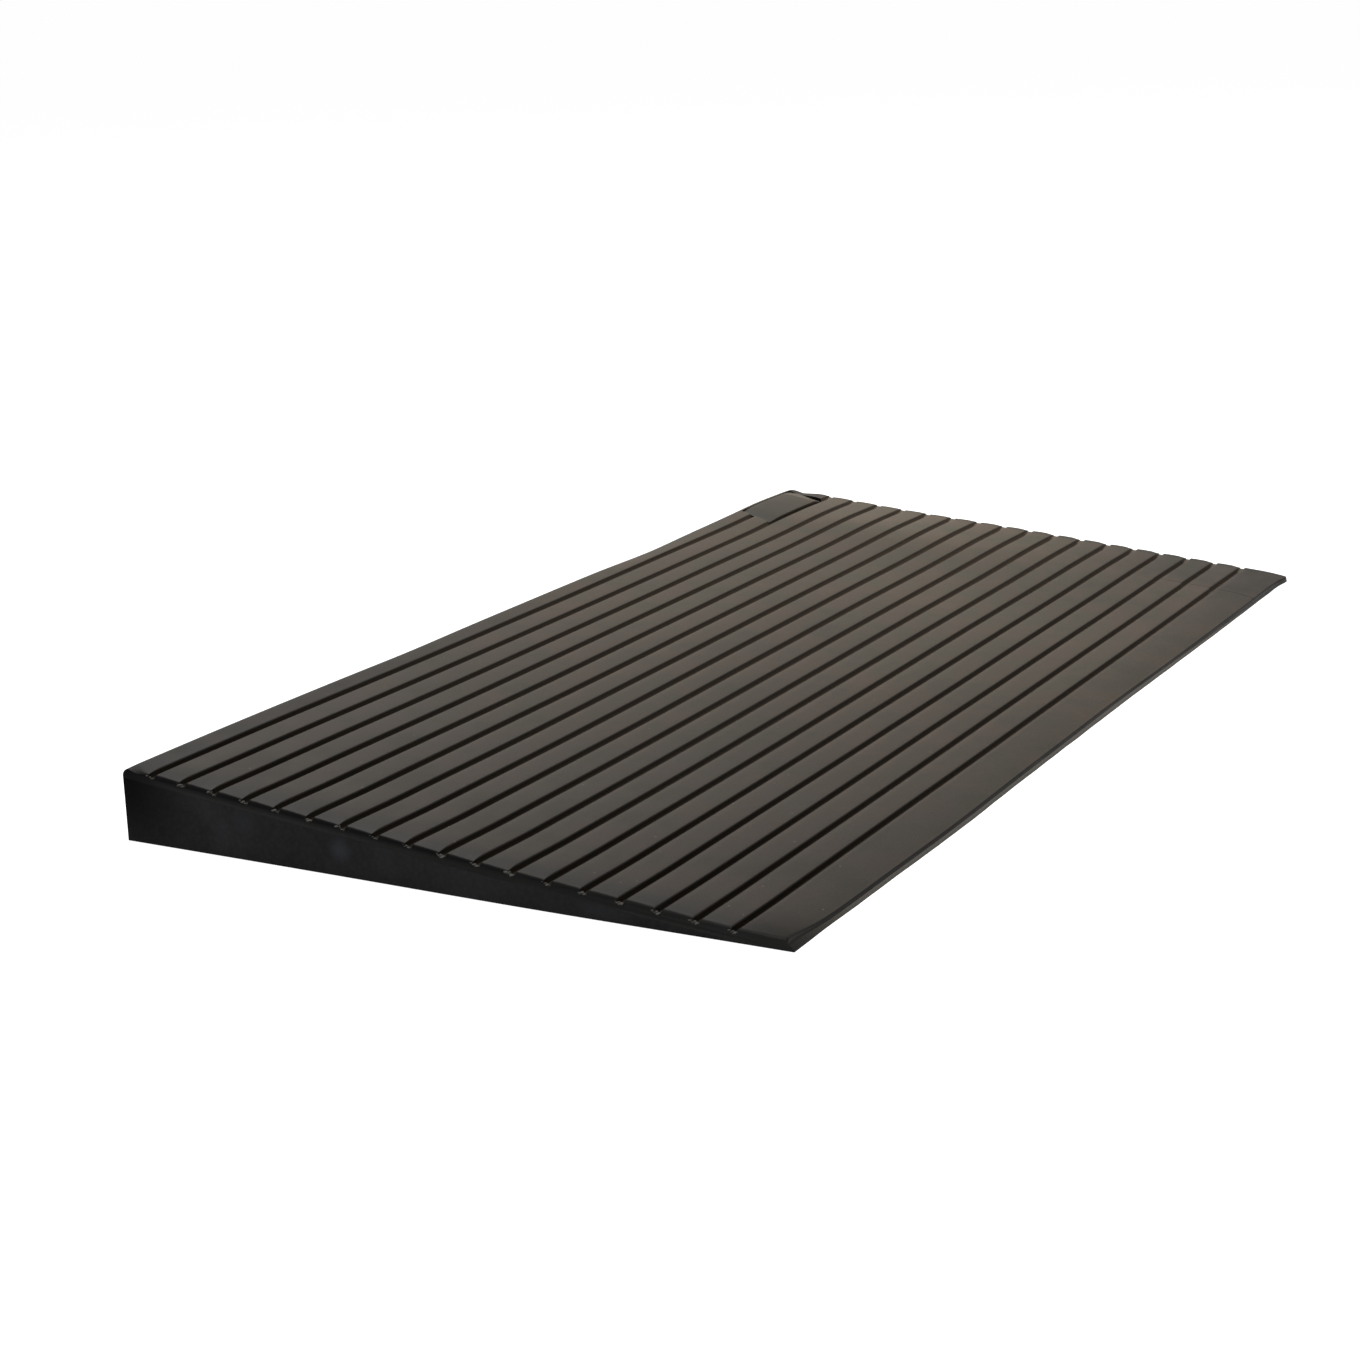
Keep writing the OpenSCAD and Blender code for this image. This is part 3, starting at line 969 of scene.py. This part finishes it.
def moulded_tread_rubber():
    """Fine recycled rubber, press moulded: black, with a soft sheen at a low angle, warm dust on top and
    painted shade on its ends.
    """
    material, add = new_material("moulded_tread_rubber")
    coords = add("TexCoord").outputs
    place = coords["Object"]
    spot = add("SeparateXYZ", {"Vector": place}).outputs
    facing = add("SeparateXYZ", {"Vector": coords["Normal"]}).outputs
    # The dust attribute also holds painted shade at the rib ends, a painted sheen line along the ribs' high
    # sides and the toe's paler grey.
    share = add("Attribute", attribute_name="dust").outputs["Fac"]
    groove = add("Attribute", attribute_name="groove").outputs["Fac"]
    mottles = add("TexNoise", {**scaled(place, DUST_MOTTLE), "Detail": 3.0})
    grain = add("TexNoise", {**scaled(place, TREAD_GRAIN), "Detail": 3.0})
    grit = add("TexVoronoi", scaled(place, GRIT_SPACING))
    lying = add("MapRange", {
        "Value": facing["Z"], **span("From", DUST_TILT)},
        interpolation_type="SMOOTHSTEP")
    held = add("Math", {0: lying, 1: share}, operation="MULTIPLY")
    topped = dusty_top(add, place, spot["X"], mottles, held)
    grooved = add("Mix", {
        MIX_SHARE: groove, MIX_A: topped, MIX_B: groove_floors(add, spot)}, data_type="RGBA")
    # Paler grey on the toe: partly dust, partly painted light from the floor.
    pale = add("MapRange", {"Value": share, **span("From", TOE_PALE)})
    paled = add("Mix", {MIX_SHARE: pale, MIX_A: grooved, MIX_B: TOE_GREY}, data_type="RGBA")
    sideways = add("Math", {0: facing["X"]}, operation="ABSOLUTE")
    end = add("MapRange", {"Value": sideways, **span("From", END_TILT)})
    # Painted shade on the end faces, under the rib ends and at the near end's high corner.
    dark = end_shade(add, place, spot["Y"])
    face = add("Mix", {MIX_SHARE: dark, MIX_A: END_GREY, MIX_B: END_BLACK}, data_type="RGBA")
    ended = add("Mix", {MIX_SHARE: end, MIX_A: paled, MIX_B: face}, data_type="RGBA")
    texture = add("MapRange", {"Value": grain, **NOISE_SPAN, "To Min": 0.85, "To Max": 1.15})
    grained = add("VectorMath", {0: ended, "Scale": texture}, operation="SCALE")
    speck = add("MapRange", {
        "Value": grit, "From Min": 0.02, "From Max": 0.05, "To Min": 0.3, "To Max": 0.0})
    lying_speck = add("Math", {0: speck, 1: held}, operation="MULTIPLY")
    colour = add("Mix", {MIX_SHARE: lying_speck, MIX_A: grained, MIX_B: DUST_GRIT}, data_type="RGBA")
    rough = add("MapRange", {"Value": mottles, **NOISE_SPAN, **span("To", TREAD_ROUGH)})
    black = add("Math", {0: end, 1: dark}, operation="MULTIPLY")
    dull_end = add("Math", {0: black, 1: END_DULL, 2: rough}, operation="MULTIPLY_ADD")
    low = spread(add, place, (-HALF_L, -REAR_Y, 0), *LOW_DULL)
    dulled = add("Math", {0: low, 1: lying, 2: dull_end}, operation="MULTIPLY_ADD")
    surface(add, colour, dulled, (grain, 0.3, 0.2), TREAD_GLOSS)
    return material


def pressed_crumb_rubber():
    """Coarse recycled crumb, pressed and bonded: dull bluish black, with granules, faint smudges and
    painted shade at the near end's high corner.
    """
    material, add = new_material("pressed_crumb_rubber")
    place = add("TexCoord").outputs["Object"]
    granules = add("TexVoronoi", scaled(place, GRANULE))
    smudges = add("TexNoise", {**scaled(place, CORE_SMUDGE), "Detail": 2.0})
    marks = add("MapRange", {"Value": smudges, "From Min": 0.5, "From Max": 0.72, "To Max": 0.35})
    for y, z, reach, strength in RUB_MARKS:
        mark = spread(add, place, (-HALF_L, y, z), reach, strength)
        marks = add("Math", {0: marks, 1: mark}, operation="MAXIMUM")
    crumb = add("Mix", {MIX_SHARE: granules, MIX_A: CRUMB_PALE, MIX_B: CRUMB_DARK}, data_type="RGBA")
    rubbed = add("Mix", {MIX_SHARE: marks, MIX_A: crumb, MIX_B: CRUMB_RUBBED}, data_type="RGBA")
    # Painted shade: the near end's high corner turns black.
    high = spread(add, place, (-HALF_L, REAR_Y, REAR_Z), *HIGH_SHADE)
    colour = add("Mix", {MIX_SHARE: high, MIX_A: rubbed, MIX_B: END_BLACK}, data_type="RGBA")
    rough = add("MapRange", {"Value": smudges, **NOISE_SPAN, **span("To", CORE_ROUGH)})
    dulled = add("Math", {0: high, 1: END_DULL, 2: rough}, operation="MULTIPLY_ADD")
    surface(add, colour, dulled, (granules, 0.3, 0.4), CORE_GLOSS)
    return material


def smooth_moulded_rubber():
    """Rubber from a polished part of the mould: finer and greener than the tread, paler towards its far
    end, with painted sheen on its far bevel.
    """
    material, add = new_material("smooth_moulded_rubber")
    coords = add("TexCoord").outputs
    place = coords["Object"]
    along = add("SeparateXYZ", {"Vector": place}).outputs["X"]
    facing = add("SeparateXYZ", {"Vector": coords["Normal"]}).outputs
    haze = add("TexNoise", {**scaled(place, PLATE_HAZE), "Detail": 3.0})
    grain = add("TexNoise", {**scaled(place, PLATE_GRAIN), "Detail": 2.0})
    far = add("MapRange", {"Value": along, "From Min": PLATE_X0 * MM, "From Max": PLATE_X1 * MM})
    hazy = add("Math", {0: haze, 1: 0.35, 2: -0.15}, operation="MULTIPLY_ADD")
    amount = add("Math", {0: far, 1: hazy}, operation="ADD")
    graded = add("Mix", {MIX_SHARE: amount, MIX_A: PLATE_NEAR, MIX_B: PLATE_FAR}, data_type="RGBA")
    # Painted sheen: faces that tilt towards the far end are drawn paler.
    bevel = add("MapRange", {"Value": facing["X"], "From Min": 0.03, "From Max": 0.08})
    colour = add("Mix", {MIX_SHARE: bevel, MIX_A: graded, MIX_B: PLATE_BEVEL_SHEEN}, data_type="RGBA")
    rough = add("MapRange", {"Value": haze, **NOISE_SPAN, **span("To", PLATE_ROUGH)})
    surface(add, colour, rough, (grain, 0.15, 0.1), PLATE_GLOSS)
    return material


def torn_rubber_flash():
    """Thin mould flash, torn off by hand: its stretched, broken skin is greyer than the moulded face."""
    material, add = new_material("torn_rubber_flash")
    place = add("TexCoord").outputs["Object"]
    tears = add("TexNoise", {**scaled(place, FLASH_TEAR), "Detail": 3.0})
    colour = add("Mix", {MIX_SHARE: tears, MIX_A: FLASH_DARK, MIX_B: FLASH_PALE}, data_type="RGBA")
    rough = add("MapRange", {"Value": tears, **span("To", FLASH_ROUGH)})
    surface(add, colour, rough, (tears, 0.6, 0.4), FLASH_GLOSS)
    return material


def cured_contact_adhesive():
    """A cured film of contact adhesive: cloudy amber grey, with trapped bubbles."""
    material, add = new_material("cured_contact_adhesive")
    place = add("TexCoord").outputs["Object"]
    bubbles = add("TexVoronoi", scaled(place, FILM_BUBBLE))
    cloud = add("TexNoise", {**scaled(place, FILM_CLOUD), "Detail": 3.0})
    colour = add("Mix", {MIX_SHARE: cloud, MIX_A: FILM_DARK, MIX_B: FILM_PALE}, data_type="RGBA")
    rough = add("MapRange", {"Value": cloud, **span("To", FILM_ROUGH)})
    surface(add, colour, rough, (bubbles, 0.2, 0.1), FILM_GLOSS)
    return material


# The studio, in metres and watts
FLOOR_REACH = 60.0  # half width of the floor
FLOOR_GREY = 0.4  # share of the light that the floor sends back
FLOOR_GLOW = 0.83  # share of white that it shows by itself, so that its shadow stays pale
ROOM_LIGHT = 0.4  # level at which the room lights things
ROOM_GLOSS = 0.8  # level at which it shows in gloss
LAMP_SIZE = 4.0
LAMP_POWER = 180.0
LAMP_PLACE = (0.6, 0.6, 3.0)
LAMP_TILT = radians(10)


def seen_rays(add):
    """1 for rays from the camera or sent on by gloss or glass, 0 for rays that light things."""
    path = add("LightPath").outputs
    gloss = add("Math", {0: path["Is Camera Ray"], 1: path["Is Glossy Ray"]}, operation="MAXIMUM")
    return add("Math", {0: gloss, 1: path["Is Transmission Ray"]}, operation="MAXIMUM")


def pale_floor():
    """A plain floor that shows as white and keeps a pale shadow of the ramp."""
    material, add = new_material("pale_floor")
    diffuse = add("BsdfDiffuse", {"Color": (FLOOR_GREY, FLOOR_GREY, FLOOR_GREY, 1.0)})
    strength = add("Math", {0: seen_rays(add), 1: FLOOR_GLOW}, operation="MULTIPLY")
    glow = add("Emission", {"Strength": strength})
    both = add("AddShader", {0: diffuse, 1: glow})
    add("OutputMaterial", {"Surface": both})
    mesh = bpy.data.meshes.new("floor")
    corners = [(-1, -1), (1, -1), (1, 1), (-1, 1)]
    mesh.from_pydata([(x * FLOOR_REACH, y * FLOOR_REACH, 0) for x, y in corners], [], [(0, 1, 2, 3)])
    mesh.materials.append(material)
    floor = put("floor", mesh)


def studio_light():
    """A dim even room, white to the camera, with one large soft lamp overhead."""
    world = bpy.data.worlds.new("studio")
    bpy.context.scene.world = world
    world.use_nodes = True
    world.node_tree.nodes.clear()
    add = partial(add_node, world.node_tree)
    level = add("MapRange", {"Value": seen_rays(add), "To Min": ROOM_LIGHT, "To Max": ROOM_GLOSS})
    plain = add("LightPath").outputs["Is Camera Ray"]
    white = add("Math", {0: level, 1: plain}, operation="MAXIMUM")
    sky = add("Background", {"Color": (1.0, 1.0, 1.0, 1.0), "Strength": white})
    add("OutputWorld", {"Surface": sky})
    lamp = bpy.data.lights.new("softbox", "AREA")
    lamp.shape = "RECTANGLE"
    lamp.size = LAMP_SIZE
    lamp.size_y = LAMP_SIZE
    lamp.energy = LAMP_POWER
    softbox = put("softbox", lamp)
    softbox.location = LAMP_PLACE
    softbox.rotation_euler = (-LAMP_TILT, LAMP_TILT, 0)


# The photograph's view: where the camera stands, which way it looks, and its lens on a 36 mm wide frame
EYE = Vector((-1767.2, -881.0, 556.0))
AZIMUTH = radians(-60.941)
ELEVATION = radians(15.419)
ROLL = radians(-1.7452)
LENS = 69.23
FRAME_W = 36.0
VIEW_REACH = 200.0  # distance in metres up to which the camera sees


def photo_camera():
    """The camera at the photograph's viewing angle."""
    back = Vector((sin(AZIMUTH) * cos(ELEVATION), -cos(AZIMUTH) * cos(ELEVATION),
                   sin(ELEVATION)))
    level = (-back).cross(Vector((0, 0, 1))).normalized()
    upright = level.cross(-back)
    right = level * cos(ROLL) + upright * sin(ROLL)
    up = upright * cos(ROLL) - level * sin(ROLL)
    lens = bpy.data.cameras.new("camera")
    lens.lens = LENS
    lens.sensor_width = FRAME_W
    lens.clip_end = VIEW_REACH
    camera = put("camera", lens)
    turned = Matrix((right, up, back)).transposed().to_4x4()
    camera.matrix_world = Matrix.Translation(EYE * MM) @ turned
    bpy.context.scene.camera = camera


photo_camera()
studio_light()
pale_floor()
wear_layer(moulded_tread_rubber())
crumb_core(pressed_crumb_rubber())
name_plate(smooth_moulded_rubber())
plate_adhesive(cured_contact_adhesive())
groove_flash(torn_rubber_flash())

bpy.context.scene.view_settings.view_transform = "Standard"
